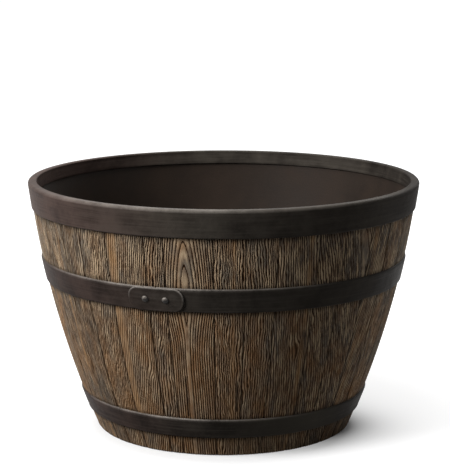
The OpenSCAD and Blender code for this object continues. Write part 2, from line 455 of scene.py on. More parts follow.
for number, values in BY_HAND.items():
    stave_table[number].update(PLAIN | values)
print(len(BY_HAND), "staves set by hand")

# %% [markdown]
# A log's growth rings are tubes round its heart. A board cuts through them, so the lines on its
# face are where the distance to the heart is the same. Where the board runs away from the heart the
# lines close into pointed arches. The same few lines of formula give the shape here and the colour
# in the material.


# %% The grain as a formula
HEART_REACH = 9.0
HEART_FROM = 264.0
HEART_LEAST = 2.0
SLANT_FROM = 165.0
ROOM_RISE = (150.0, 233.0)
WIDEST_RING = 0.09
POINTED = 1.6
KNOT_WIDE = 5.0
KNOT_LONG = 13.0
VALLEY_WIDTH = 0.76
NARROWEST = 0.3
# Width, length and size of the wobbles in the lines
WOBBLES = ((30, 90, 9.0), (11, 26, 3.4), (4, 8, 2.4))


def ring_distance(x, z, stave):
    """Growth ring number at a point of the board, and the width of one ring there."""
    tree = x.tree
    seed = stave["seed"]
    wobble = sum(
        noise(vector(tree, x / wide + seed, z / long, seed), detail=1.0) * size
        for wide, long, size in WOBBLES
    )
    across = x + wobble * stave["wild"] - stave["heart_x"] + (z - SLANT_FROM) * stave["slant"]
    deep = stave["heart_deep"] + (z - HEART_FROM) * stave["heart_slope"] - HEART_LEAST
    deep = (deep + (deep * deep + 3).to("SQRT")) / 2 + HEART_LEAST
    aside = across.to("ABSOLUTE")
    radius = (aside.to("POWER", POINTED) + deep.to("POWER", POINTED)).to("POWER", 1 / POINTED)
    near_heart = (radius / -HEART_REACH).to("EXPONENT")
    room = stave["heart_room"] * step_up(z, *ROOM_RISE)
    knot = (x - stave["knot_x"]) / KNOT_WIDE
    knot_up = (z - stave["knot_z"]) / KNOT_LONG
    bulge = (0 - knot * knot - knot_up * knot_up).to("EXPONENT") * stave["knot_size"]
    rings = radius / stave["pitch"] - (1 - near_heart) * room + bulge
    steep_across = (aside / radius).to("POWER", POINTED - 1)
    steep_along = (deep / radius).to("POWER", POINTED - 1) * stave["heart_slope"]
    steep = (steep_across * steep_across + steep_along * steep_along).to("SQRT")
    density = 1 / stave["pitch"] - near_heart * room / HEART_REACH
    return rings, 1 / (density * steep).to("MAXIMUM", WIDEST_RING)


def valley(rings, reach, spot):
    """0 on a ridge of hard wood and 1 in the brushed-out valley between two ridges."""
    off_line = (rings.to("FRACT") - 0.5).to("ABSOLUTE") * reach
    slow = grained(spot, 0.22, 0.03, detail=1.0)
    quick = grained(spot, 0.6, 0.1, detail=1.0)
    width = (slow * 0.8 + quick * 0.8 + VALLEY_WIDTH).to("MAXIMUM", NARROWEST)
    return 1 - step_up(off_line, width * 0.3, width)


print("the grain's formulas are ready")

# %% [markdown]
# The staves' tree bends one flat grid round the wall. Each column of the grid knows its stave and
# how far across that stave it is, and each row knows its height. The first and last rows lie inside
# the wall, so the grid closes into a thin shell that the hoops' edges cover.

# %% Tree: staves
STAVE_COLUMNS = 84
SHELL_DEPTH = 1.9
CROWDING = 0.45


def grid_rows_and_columns(tree, columns, rows):
    """A flat grid, the row and the column of each of its points, and the grid's own UV map."""
    node = tree.nodes.new("GeometryNodeMeshGrid")
    fill(tree, node.inputs["Vertices X"], columns)
    fill(tree, node.inputs["Vertices Y"], rows)
    index = add(tree, "GeometryNodeInputIndex")
    column = ((index + 0.5) / rows).to("FLOOR")
    row = index - column * rows
    return Field(tree, node.outputs[0]), row, column, Field(tree, node.outputs["UV Map"])


def round_the_axis(azimuth, radius, z):
    """A position in metres, from an azimuth that starts at the front and sizes in millimetres."""
    x = azimuth.to("SINE") * radius / 1000
    y = azimuth.to("COSINE") * radius / -1000
    return vector(azimuth.tree, x, y, z / 1000)


staves_tree, stave_points, stave_input = new_tree(
    "staves",
    {
        "Low": 54.0, "High": 202.0, "Rows": 60, "Columns per stave": STAVE_COLUMNS,
        "First stave": 0, "Stave count": STAVES,
        "Ridge height": 0.32, "Valley depth": 0.62, "Joint depth": 0.95,
    },
)
rows, count = stave_input["Rows"], stave_input["Stave count"]
per_stave = stave_input["Columns per stave"]
grid, row, column, grid_uv = grid_rows_and_columns(staves_tree, count * per_stave + 1, rows + 3)
nth = ((column + 0.5) / per_stave).to("FLOOR").to("MINIMUM", count - 1)
even = column / per_stave - nth
over = even - (even * tau).to("SINE") * (CROWDING / tau)
stave_number = (nth + stave_input["First stave"]).to("FLOORED_MODULO", float(STAVES))
stave = {key: look_up(stave_points, key, stave_number) for key in stave_table[0]}
tell("staves", staves_tree)

# %% Tree: heights and the wall's curve
climb = limited((row - 1) / (rows - 1))
climb = climb * row.to("LESS_THAN", rows + 1.5)
hidden = row.to("LESS_THAN", 0.5).to("MAXIMUM", row.to("GREATER_THAN", rows + 0.5))
band_low, band_high = stave_input["Low"], stave_input["High"]
level = band_low + (band_high - band_low) * climb
curl = (BASE_EDGE - level).to("MAXIMUM", 0.0) / BASE_EDGE
outward = curl.to("COSINE")
downward = curl.to("SINE")
wall_z = level.to("MAXIMUM", BASE_EDGE)
wall_r = face_r_field(wall_z)
azimuth = stave["start"] + (stave["end"] - stave["start"]) * over
half_wide = (stave["end"] - stave["start"]) * wall_r / 2
board_x = (azimuth - (stave["start"] + stave["end"]) / 2) * wall_r
tell("staves", staves_tree)

# %% Tree: relief
LOWEST_RELIEF = -1.3
HIGHEST_RELIEF = 0.75
spot = vector(staves_tree, board_x + stave["seed"], level)
rings, reach = ring_distance(board_x, level, stave)
off_band = (board_x - stave["band_x"]).to("ABSOLUTE")
band = 1 - step_up(off_band, stave["band_w"] * 0.55, stave["band_w"] + 0.01)
worn = valley(rings, reach, spot) * (1 - band * 0.45)
# Painted shade: the wood is darkened just below the upper hoop and just above the lower one.
under_hoop = 1 - step_up(band_high - level, 1.0, 8.0)
under_hoop = under_hoop.to("MAXIMUM", 1 - step_up(level - band_low, 1.6, 4.0))
to_joint = half_wide - board_x.to("ABSOLUTE")
joint = 1 - step_up(to_joint, 0.25, 1.15)
jag = grained(spot, 0.5, 0.09)
crack_end = (level - stave["crack_z"]).to("ABSOLUTE") - stave["crack_long"]
crack_side = (board_x - stave["crack_x"] + jag * 3).to("ABSOLUTE") + limited(crack_end / 6) * 3
crack = (1 - step_up(crack_side + jag, 0.5, 1.7)) * stave["crack_long"].to("SIGN")
joint = joint.to("MAXIMUM", crack)
shoulder = 1 - step_up(to_joint, 0.6, 4.5)
pores = grained(spot, 0.9, 0.14)
swell = grained(spot, 0.035, 0.012, detail=1.0)
ridge_high = stave_input["Ridge height"]
relief = (
    ridge_high
    - worn * (ridge_high + stave_input["Valley depth"]) * (1 - joint)
    - joint * stave_input["Joint depth"]
    - shoulder * 0.3
    + pores * 0.22
    + swell * 0.5
    + stave["step"]
)
relief = limited(relief, LOWEST_RELIEF, HIGHEST_RELIEF)
lift = relief * outward.to("MAXIMUM", 0.15) * (1 - hidden) - hidden * SHELL_DEPTH
radius = wall_r - (1 - outward) * BASE_EDGE + lift * outward
stave_z = (wall_z - downward * (lift + BASE_EDGE)).to("MAXIMUM", 0.0)
tell("staves", staves_tree)

# %% Tree: bend the grid, keep what the material reads and weld the seams
staves_bent = moved_to(grid, round_the_axis(azimuth, radius, stave_z))
kept = {"rings": rings, "reach": reach, "band": band, "joint": joint, "under_hoop": under_hoop}
kept |= {key: stave[key] for key in ("tone", "warm", "patchy")}
for key, value in kept.items():
    staves_bent = keep(staves_bent, key, value)
staves_bent = keep(staves_bent, "spot", spot, kind="FLOAT_VECTOR")
staves_bent = keep(staves_bent, BAKE_MAP, grid_uv, kind="FLOAT2", domain="CORNER")
end_tree(welded(staves_bent), stave_input)
tell("whole staves", staves_tree)

# %% [markdown]
# ## Finishes
#
# A finish is one Principled shader and a few formulas that feed it. The wood look reads the values
# that the staves' tree left on the mesh, so its dark lines lie exactly in the brushed-out valleys.
# Colours are written as in a paint program, from 0 to 255, and turned into the linear values that
# Blender uses.


# %% Helpers for finishes
# Sockets of a Mix node in colour mode
MIX_FIRST = 6
MIX_SECOND = 7
MIX_RESULT = 2


def paint(red, green, blue):
    """A colour from 0 to 255 per channel, as Blender's linear colour."""
    linear = [((c / 255 + 0.055) / 1.055) ** 2.4 for c in (red, green, blue)]
    return (*linear, 1.0)


def new_finish(name, **constants):
    """A material with constants on its shader's own sockets, its tree and the shader."""
    material = bpy.data.materials.new(name)
    material.use_nodes = True
    shader = material.node_tree.nodes["Principled BSDF"]
    for key, value in constants.items():
        shader.inputs[key.replace("_", " ")].default_value = value
    return material, material.node_tree, shader


def painted(tree, name, output="Fac"):
    """A value that was stored on the mesh."""
    return add(tree, "ShaderNodeAttribute", output=output, attribute_name=name)


def mixed(share, first, second):
    """A colour between two others. The node itself keeps the share between 0 and 1."""
    inputs = {0: share, MIX_FIRST: first, MIX_SECOND: second}
    return add(share.tree, "ShaderNodeMix", inputs, MIX_RESULT, data_type="RGBA")


def coated(colour, *coats):
    """A colour under coats. Each coat is a share and the red, green and blue of its paint."""
    for share, *channels in coats:
        colour = mixed(share, colour, paint(*channels))
    return colour


def millimetres(tree):
    """The place on the piece, in millimetres, and its height alone."""
    here = add(tree, "ShaderNodeTexCoord", output="Object")
    here = add(tree, "ShaderNodeVectorMath", {0: here, "Scale": 1000.0}, operation="SCALE")
    return here, add(tree, "ShaderNodeSeparateXYZ", (here,), "Z")


# A plain cone that lies close to the wall
CONE_FOOT = 172.0
CONE_GAIN = 0.26


def round_to_right(position, level):
    """How far round the wall: -1 at the left end, 0 in front or behind, 1 at the right end."""
    sideways, _ = split(position)
    return sideways / (level * CONE_GAIN + CONE_FOOT)


def feed(shader, colour, roughness, bumps, depth, strength):
    """Links a colour, a roughness, and bumps that are too small for the mesh, in metres."""
    tree = colour.tree
    inputs = {"Strength": strength, "Distance": depth, "Height": bumps}
    fill(tree, shader.inputs["Base Color"], colour)
    fill(tree, shader.inputs["Roughness"], limited(roughness))
    fill(tree, shader.inputs["Normal"], add(tree, "ShaderNodeBump", inputs))
    tell("finished shader", tree)


print("finish helpers are ready")

# %% Finish: brushed wood look of the staves
wood, wood_nodes, wood_shader = new_finish("brushed_stave_resin", Specular_IOR_Level=0.04)
spot = painted(wood_nodes, "spot", "Vector")
band = painted(wood_nodes, "band")
tone = painted(wood_nodes, "tone")
rings = painted(wood_nodes, "rings")
worn = valley(rings, painted(wood_nodes, "reach"), spot)
crest = step_up((rings.to("FRACT") - 0.5).to("ABSOLUTE"), 0.2, 0.5)
_, along_grain = split(spot)
own_tone = noise(vector(wood_nodes, (rings + 0.5).to("FLOOR") * 3.7, along_grain / 26), detail=1.0)
cloud = grained(spot, 0.045, 0.022)
stain = grained(spot, 0.14, 0.08, detail=4.0, roughness=0.6)
streak = grained(spot, 0.8, 0.07, detail=3.0, roughness=0.65)
patch = grained(spot, 0.06, 0.016, scale=1.3)
upper = step_up(along_grain, 150.0, 240.0)
tell("wood grain", wood_nodes)

# %% Finish: colours of the ridges, from weathered to bright and dull
warmth = painted(wood_nodes, "warm") * 0.6 + cloud * 2.6 + own_tone * 0.6 + 0.6 - upper * 0.4
patchy = painted(wood_nodes, "patchy")
bright = (streak * 1.6 + own_tone * 2.0 + patch * 1.2) * patchy
bright = bright + tone * 0.5 + crest * 0.5 + upper * 0.16 - 0.2
dull = (streak * -1.2 - stain * 1.6 - own_tone * 1.4) * patchy - tone * 0.55
ridge = coated(
    mixed(warmth, paint(122, 111, 98), paint(146, 111, 79)),
    (bright, 198, 174, 143),
    (band * (patch * 2.6 + streak + 0.45), 174, 138, 100),
    (dull, 56, 45, 35),
)
tell("wood ridge", wood_nodes)

# %% Finish: valleys, joints, and painted shade and light by the hoops and the foot
here, level_here = millimetres(wood_nodes)
rightward = round_to_right(here, level_here)
# Painted shade along the hoops' edges, broken up by the stain noise.
hoop_edge_shade = limited(painted(wood_nodes, "under_hoop") * (0.7 + stain * 1.2))
low = 1.0 - step_up(level_here, 20.0, 40.0)
# Painted light: a pale coat low on the front right of the foot, where more light falls.
dust_and_painted_light = step_up(rightward, -0.2, 0.2) * (1.0 - step_up(rightward, 0.45, 0.7)) * low
timber = coated(
    ridge,
    (limited(worn * 2.2) * (upper * 0.35 + 0.55), 110, 73, 38),
    # The near-black in the valleys is partly the wood's own dark grain and partly painted shade in
    # the grooves.
    (worn * (1.0 - band * 0.4) * (upper * 0.2 + 0.78), 21, 14, 9),
    (painted(wood_nodes, "joint") * 0.75, 16, 12, 10),
    # Painted shade by the hoops' edges.
    (hoop_edge_shade * 0.85, 22, 18, 15),
    (dust_and_painted_light * (0.22 - worn * 0.15), 176, 152, 122),
    # Painted shade: the far right end of the foot is darker low down.
    (step_up(rightward, 0.45, 0.8) * low * 0.6, 20, 16, 13),
)
rough = worn * 0.22 + stain * 0.3 + 0.55
feed(wood_shader, timber, rough, noise(here, 1.6, 3.0) + streak * 0.6, 0.0002, 0.5)

# %% [markdown]
# The inside of a moulded tub isn't painted. It keeps the dark colour of the resin, a little paler
# where dust and water marks gather near the floor.

# %% Finish: bare resin inside and underneath
bare, bare_nodes, bare_shader = new_finish("bare_tub_resin", Specular_IOR_Level=0.12)
here, level_here = millimetres(bare_nodes)
flow = noise(here, 0.018, 4.0, 0.6)
speck = noise(here, 0.6, 2.0, 0.6)
dust_and_painted_light = limited(1 - step_up(level_here, 12.0, 70.0) + flow * 1.4 - 0.35) * 0.5
resin = mixed(flow * 1.6 + 0.5, paint(32, 26, 22), paint(50, 40, 33))
resin = coated(resin, (dust_and_painted_light, 92, 80, 68), (limited(speck * 2.2 - 0.35) * 0.4, 110, 98, 84))
feed(bare_shader, resin, flow * 0.4 + 0.58, noise(here, 0.35, 3.0), 0.0004, 0.4)

# %% [markdown]
# The hoops are the same resin with a dark, satin, slightly mottled coat that imitates iron.
# Their upper edges are paler, partly wear and partly a painted highlight that gathers on the
# lit side, and their lower edges are painted darker, painted shade. The hoops' tree stores
# both as one value. The weather side is also browner. Near the rim the coat is paler, more so
# on the left, where it is painted light. The far right end is darker, painted shade, and low
# on the front right the hoops are paler, painted light.

# %% Finish: satin hoops
satin, satin_nodes, satin_shader = new_finish("satin_hoop_resin", Specular_IOR_Level=0.02)
here, level_here = millimetres(satin_nodes)
mottle = noise(here, 0.028, 4.0, 0.62)
grit = noise(here, 0.32, 3.0, 0.6)
squeezed = add(satin_nodes, "ShaderNodeMapping", {"Vector": here, "Scale": (0.012, 0.012, 0.4)})
brushing = noise(squeezed, 1.0, 3.0, 0.6)
wear_and_painted_light = painted(satin_nodes, "wear_and_painted_light")
# The pale rub is partly wear and partly a painted highlight.
rub_and_painted_light = limited(wear_and_painted_light * (0.8 + mottle * 2.0 + grit * 1.2))
rightward = round_to_right(here, level_here)
near_rim = step_up(level_here, 240.0, 300.0)
# The coat is paler near the rim, and more so on the left, where it is painted light.
pale_rim_lit_left = near_rim * (1.0 - step_up(rightward, -0.45, 0.25) * 0.5)
# Painted light: the hoops are paler low on the front right.
dust_and_painted_light = step_up(rightward, -0.1, 0.5) * (1.0 - step_up(rightward, 0.6, 0.9))
dust_and_painted_light = dust_and_painted_light * (1.0 - step_up(level_here, 40.0, 260.0))
rusty = 1.0 - step_up(rightward, -0.85, -0.08)
# Painted shade: the coat is darker at the far right end of the hoops.
right_end_shade = step_up(rightward, 0.74, 0.95)
tell("satin wear", satin_nodes)

# %% Finish: colours of the hoops' coat
dark = mixed(rusty, paint(38, 34, 31), paint(42, 34, 31))
pale = mixed(rusty, paint(69, 64, 58), paint(76, 63, 58))
light_lines = mixed(rusty, paint(79, 74, 68), paint(84, 73, 68))
dark_lines = mixed(rusty, paint(34, 30, 26), paint(37, 29, 26))
coat = mixed(mottle * 2.0 + pale_rim_lit_left * 0.65 - right_end_shade * 0.6 + 0.25, dark, pale)
coat = mixed(limited(brushing * 1.8) * 0.8, coat, light_lines)
coat = mixed(brushing * -1.5 + mottle * -0.8, coat, dark_lines)
coat = mixed(grit * 1.5 - 0.1, coat, pale)
# Over the coat: paler low on the front right (painted light), the pale rub of wear and painted
# highlight, and dark lower edges (painted shade).
coat = coated(coat, (dust_and_painted_light * 0.7, 88, 83, 75), (rub_and_painted_light * 0.85, 160, 153, 146), (0 - wear_and_painted_light, 16, 13, 12))
rough = mottle * 0.35 + grit * 0.2 + right_end_shade * near_rim * 0.16 + 0.5
dents = noise(here, 0.12, 3.0) * 2 + noise(here, 0.9, 2.0) * 0.5 + brushing * 0.8
feed(satin_shader, coat, rough, dents, 0.0004, 0.5)

# %% [markdown]
# The rivets have dark painted heads with a pale spot at the top of each dome, a painted
# highlight. The same value as on the hoops carries it, and a little Metallic is enough, because
# paint covers most of the steel.

# %% Finish: rivets
riveted, rivet_nodes, rivet_shader = new_finish(
    "dark_rivet_metal", Metallic=0.1, Specular_IOR_Level=0.15
)
here, _ = millimetres(rivet_nodes)
grit = noise(here, 0.9, 3.0, 0.6)
# The pale rub on the rivets is a painted highlight.
rub_and_painted_light = limited(painted(rivet_nodes, "wear_and_painted_light") * (0.7 + grit * 1.6))
steel = mixed(grit * 1.8 + 0.5, paint(22, 20, 18), paint(34, 30, 28))
steel = coated(steel, (rub_and_painted_light, 140, 132, 124))
feed(rivet_shader, steel, grit * 0.3 + 0.36, grit, 0.0002, 0.5)

# %% [markdown]
# The drain plugs are soft dark rubber with a pale, chalky bloom. Two noises make it, one wide and
# one fine, and a high roughness keeps the rubber dull.

# %% Finish: rubber of the drain plugs
rubber, rubber_nodes, rubber_shader = new_finish("plug_rubber", Specular_IOR_Level=0.3)
here, _ = millimetres(rubber_nodes)
bloom = noise(here, 0.16, 3.0, 0.6)
grain = noise(here, 1.4, 2.0)
soft = mixed(bloom * 1.6 + 0.4, paint(27, 27, 28), paint(44, 43, 42))
soft = coated(soft, (limited(grain * 1.8 - 0.3) * 0.5, 86, 82, 76))
feed(rubber_shader, soft, bloom * 0.3 + 0.72, grain, 0.0002, 0.4)

# %% [markdown]
# The tree makes three bands: above the middle hoop, below it, and the foot under the bottom hoop.
# The middle one has the most faces, so it is made as two halves, each under 200,000 triangles.

# %% Staves: three bands
TUCK = 0.5
ROW_STEP = 2.6
FOOT_ROW_STEP = 2.2
HALF_ROUND = STAVES // 2
CURL_LENGTH = BASE_EDGE * (pi / 2 - 1)


def stave_band(name, low, high, first, count=STAVES, row_step=ROW_STEP):
    """One band of staves, as a closed shell."""
    points = [(sin(s["start"]), -cos(s["start"]), 0.0) for s in stave_table]
    values = {key: [s[key] for s in stave_table] for key in stave_table[0]}
    obj = new_object(name, points, values=values)
    freeze(
        obj, staves_tree, low=low, high=high, first_stave=first, stave_count=count,
        rows=round((high - low) / row_step), finish=wood,
    )
    return tidy_shell(obj)


above_middle = (MIDDLE_BAND[1] - TUCK, RIM_BAND[0] + TUCK)
between_hoops = (BOTTOM_BAND[1] - TUCK, MIDDLE_BAND[0] + TUCK)
under_bottom = (-CURL_LENGTH, BOTTOM_BAND[0] + TUCK)
upper_staves = stave_band("upper_staves", *above_middle, HALF_ROUND)
left_staves = stave_band("left_staves", *between_hoops, HALF_ROUND, HALF_ROUND)
right_staves = stave_band("right_staves", *between_hoops, 0, HALF_ROUND)
foot_staves = stave_band("foot_staves", *under_bottom, HALF_ROUND, row_step=FOOT_ROW_STEP)

# %% [markdown]
# The foot ring has three drain notches at the back. A Boolean modifier cuts them out of the foot
# band, at the places where the CAD tub has them, with boxes whose lower half is under the ground.

# %% Staves: drain notches
from mathutils import Matrix

NOTCH_AZIMUTHS = (130, 180, 230)
NOTCH_SIZE = (24.0, 40.0, 7.0)


def round_to(azimuth, radius):
    """The matrix that moves a thing out to a radius and round to an azimuth in degrees."""
    outwards = Matrix.Translation((0.0, -radius / 1000, 0.0))
    return Matrix.Rotation(radians(azimuth), 4, "Z") @ outwards


stretch = Matrix.Diagonal([size / 1000 for size in NOTCH_SIZE] + [1.0])
boxes = bmesh.new()
for notch_az in NOTCH_AZIMUTHS:
    bmesh.ops.create_cube(boxes, size=1.0, matrix=round_to(notch_az, BASE_R) @ stretch)
notch_cutter = new_object("notch_cutter", [])
boxes.to_mesh(notch_cutter.data)
boxes.free()
cut = foot_staves.modifiers.new("notches", "BOOLEAN")
cut.object = notch_cutter
cut.operation = "DIFFERENCE"
cut.solver = "EXACT"
freeze(foot_staves)
bpy.data.objects.remove(notch_cutter)
tidy_shell(foot_staves)
for piece in (upper_staves, left_staves, right_staves, foot_staves):
    place(piece, "planter", "tub")

# %% [markdown]
# ## The tub behind the staves
#
# The floor, its ribs, the drain holes and the foot ring are right in the CAD solid, so a copy of it
# is kept for them. Only its outer skin is moved in by 1.5 mm, to make room for the bands of staves.

# %% Tub body
SKIN = 1.5
SKIN_REACH = 1.35
ON_GROUND = 0.1
FOOT_GAP = 0.3
CORE_CREASE = radians(30.0)
core = in_scene("tub_body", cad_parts["tub"].data.copy())
edge_r = face_r(BASE_EDGE) - BASE_EDGE
shell = bmesh.new()
shell.from_mesh(core.data)
bmesh.ops.remove_doubles(shell, verts=shell.verts, dist=WELD_DISTANCE)
moved = 0
for vert in shell.verts:
    x, y, z = (c * 1000 for c in vert.co)
    r = hypot(x, y)
    from_curl = hypot(r - edge_r, z - BASE_EDGE)
    if z < ON_GROUND:
        new_r, new_z = min(r, edge_r - FOOT_GAP), z
    elif z < BASE_EDGE and from_curl > BASE_EDGE - SKIN_REACH and r > edge_r:
        inward = (BASE_EDGE - SKIN) / from_curl
        new_r, new_z = edge_r + (r - edge_r) * inward, BASE_EDGE + (z - BASE_EDGE) * inward
    elif z >= BASE_EDGE and r > face_r(z) - SKIN_REACH:
        new_r, new_z = face_r(z) - SKIN, z
    else:
        continue
    vert.co = (x * new_r / r / 1000, y * new_r / r / 1000, new_z / 1000)
    moved += 1
shell.to_mesh(core.data)
shell.free()
core.data.materials.clear()
core.data.materials.append(bare)
tidy_shell(core, CORE_CREASE)
place(core, "planter", "tub")
print(moved, "points of the outer skin moved in")

# %% [markdown]
# ## Hoops
#
# A hoop is an outline taken round the axis. The outline carries, for each point, its wear and
# painted light and how far the surface there may wander, because a moulded strap is never quite
# flat. One tree bends a grid round the axis for the hoops and the plugs, and gathers the pale rub
# on the lit side, a painted highlight.

# %% Tree: round
LIT_SIDE_FOCUS = 12
LEAST_ON_SHADED_SIDE = 0.1
round_tree, outline, round_input = new_tree(
    "round",
    {"Segments": 240, "Points": 4, "Start": 0.0, "End": tau, "Waviness": 0.0, "Lit side": -0.4},
)
grid, row, column, grid_uv = grid_rows_and_columns(
    round_tree, round_input["Segments"] + 1, round_input["Points"] + 1
)
point = row.to("FLOORED_MODULO", round_input["Points"])
whole_turn = round_input["End"] - round_input["Start"]
azimuth = round_input["Start"] + whole_turn * column / round_input["Segments"]
radius = look_up(outline, "radius", point)
height = look_up(outline, "height", point)
position = vector(round_tree, azimuth.to("SINE") * radius, azimuth.to("COSINE") * radius, height)
wander = noise(position, 0.022, 1.0) * 2.0 + noise(position, 0.09, 1.0) * 0.7
radius = radius + wander * round_input["Waviness"] * look_up(outline, "loose", point)
turned = moved_to(grid, round_the_axis(azimuth, radius, height))
# The pale rub gathers on the side that faces the main lamp: a painted highlight.
facing = (azimuth - round_input["Lit side"]).to("COSINE") * 0.5 + 0.5
toward_lit_side = facing.to("POWER", LIT_SIDE_FOCUS) * (1 - LEAST_ON_SHADED_SIDE) + LEAST_ON_SHADED_SIDE
turned = keep(turned, "wear_and_painted_light", look_up(outline, "wear_and_painted_light", point) * toward_lit_side)
turned = keep(turned, BAKE_MAP, grid_uv, kind="FLOAT2", domain="CORNER")
end_tree(welded(turned), round_input)
tell("round", round_tree)


# %% Outlines: arcs and walls
def arc(radius, height, size, start, end, wear_and_painted_light=0.0, last_wear_and_painted_light=0.0, steps=5):
    """Points of radius, height, loose and wear with painted light round a centre, from angles in
    degrees.
    """
    found = []
    for k in range(steps + 1):
        share = k / steps
        turn = radians(start + (end - start) * share)
        rub_and_painted_light = wear_and_painted_light + (last_wear_and_painted_light - wear_and_painted_light) * share**0.7
        found.append((radius + size * cos(turn), height + size * sin(turn), 0.6, rub_and_painted_light))
    return found


def wall_line(low, high, off, loose=0.0, step=2.4):
    """Points along the wall's curve, moved out by off and without wear or painted light."""
    count = max(1, round(abs(high - low) / step))
    levels = [low + (high - low) * k / count for k in range(count + 1)]
    return [(face_r(z) + off, z, loose, 0.0) for z in levels]


def turned_piece(name, outline_points, finish, segments, **inputs):
    """A closed outline taken round the axis."""
    keys = ("radius", "height", "loose", "wear_and_painted_light")
    values = {key: [p[n] for p in outline_points] for n, key in enumerate(keys)}
    obj = new_object(name, [(p[0], 0.0, p[1]) for p in outline_points], values=values)
    freeze(obj, round_tree, segments=segments, points=len(outline_points), finish=finish, **inputs)
    return obj


print("outline helpers are ready")

# %% [markdown]
# The two straps have soft outer edges and end square against the staves. The rim hoop also folds
# over the top edge of the tub and comes down inside as a short leg.

# %% Hoops: outlines
HOOP_EDGE = 2.0
HOOP_BACK = -0.85
LEG_LOW = 314.85
LEG_OUT = -6.15
LEG_IN = -9.15
LEG_EDGE = 0.8
LIP_EDGE = 4.0
LIP_INNER = 1.5
BACK_STEP = 9.0


def edge_and_face(low, top):
    """A hoop's lower back corner, its round lower edge with painted shade, and its face."""
    edge = low + HOOP_EDGE
    return [
        (face_r(low) + HOOP_BACK, low, 0.0, 0.0),
        # The lower edge is painted darker: painted shade.
        *arc(face_r(edge) + (HOOP_PROUD - HOOP_EDGE), edge, HOOP_EDGE, -90, 0, -0.8, 0.0),
        *wall_line(edge, top, HOOP_PROUD, 1.0)[1:-1],
    ]


def strap_outline(low, high):
    """Round lower edge with painted shade, face, round upper edge with wear and a painted
    highlight, and a plain back.
    """
    edge = high - HOOP_EDGE
    return [
        *edge_and_face(low, edge),
        # The upper edge is paler, partly wear and partly a painted highlight.
        *arc(face_r(edge) + (HOOP_PROUD - HOOP_EDGE), edge, HOOP_EDGE, 0, 90, 0.15, 1.0),
        *wall_line(high, low, HOOP_BACK, step=BACK_STEP)[:-1],
    ]


def rim_outline():
    """The strap's face, the round lip and the flat top with wear and a painted highlight, and the
    leg inside the tub.
    """
    low, high = RIM_BAND
    top_r = face_r(SHOULDER)
    leg_z = LEG_LOW + LEG_EDGE
    return [
        *edge_and_face(low, SHOULDER),
        # The lip and the flat top are paler, partly wear and partly a painted highlight.
        *arc(top_r + HOOP_PROUD - LIP_EDGE, SHOULDER, LIP_EDGE, 0, 90, 0.0, 0.6, 8),
        (top_r - 4.0, high, 0.5, 0.6),
        *arc(top_r + LEG_IN + LIP_INNER, high - LIP_INNER, LIP_INNER, 90, 180, 0.5, 0.1, 4),
        *wall_line(high - 2.5, LEG_LOW + 1.0, LEG_IN, 0.4)[:-1],
        *arc(face_r(leg_z) + LEG_IN + LEG_EDGE, leg_z, LEG_EDGE, 180, 270, steps=3),
        (face_r(LEG_LOW) + LEG_OUT, LEG_LOW, 0.0, 0.0),
        (top_r + LEG_OUT, SHOULDER, 0.0, 0.0),
        (top_r + HOOP_BACK, SHOULDER, 0.0, 0.0),
        *wall_line(SHOULDER, low, HOOP_BACK, step=BACK_STEP)[1:-1],
    ]


print("rim outline has", len(rim_outline()), "points")

# %% Hoops: the three pieces
LAP_AZ = radians(-20.1)
MIDDLE_Z = 217.5
BUTT_GAP = 1.5
WAVINESS = 0.22
HOOP_SEGMENTS = 300
BOTTOM_SEGMENTS = 280
half_gap = BUTT_GAP / 2 / face_r(MIDDLE_Z)


def hoop(node, outline_points, segments=HOOP_SEGMENTS, **ends):
    """One satin hoop that stands in for a CAD node."""
    name = f"{node}_satin"
    piece = turned_piece(name, outline_points, satin, segments, waviness=WAVINESS, **ends)
    tidy_shell(piece)
    place(piece, "planter", node)


open_ends = {"start": LAP_AZ + half_gap, "end": LAP_AZ - half_gap + tau}
hoop("rim_hoop", rim_outline())
hoop("middle_hoop", strap_outline(*MIDDLE_BAND), **open_ends)
hoop("bottom_hoop", strap_outline(*BOTTOM_BAND), BOTTOM_SEGMENTS)

# %% [markdown]
# ## Lap plate and rivets
#
# The middle hoop's two ends meet under a plate with two domed rivets. Both are drawn flat, because
# that is easy, and a tree then lays them on the hoop's curve. A stack of rounded outlines, each a
# little smaller than the last, makes a plate with soft edges. With corners as round as the outline,
# the same stack makes a dome.


# %% Stacks of rounded outlines
SIDE_STEP = 2.2
CORNER_STEPS = 9


def rounded_outline(half_x, half_y, corner, inset):
    """Points round a rectangle with round corners. An inset keeps their number."""
    r = max(corner - inset, 0.0)
    in_x = max(half_x - max(corner, inset), 0.0)
    in_y = max(half_y - max(corner, inset), 0.0)
    bends = []
    for turn, side_x, side_y in ((0, 1, 1), (90, -1, 1), (180, -1, -1), (270, 1, -1)):
        angles = [radians(turn + 90 * k / CORNER_STEPS) for k in range(CORNER_STEPS + 1)]
        bends.append([(side_x * in_x + r * cos(a), side_y * in_y + r * sin(a)) for a in angles])
    found = []
    for number, bend in enumerate(bends):
        (x0, y0), (x1, y1) = bend[-1], bends[(number + 1) % 4][0]
        runs = max(1, round(2 * ((half_x, half_y)[number % 2] - corner) / SIDE_STEP))
        found += bend
        found += [(x0 + (x1 - x0) * k / runs, y0 + (y1 - y0) * k / runs) for k in range(1, runs)]
    return found


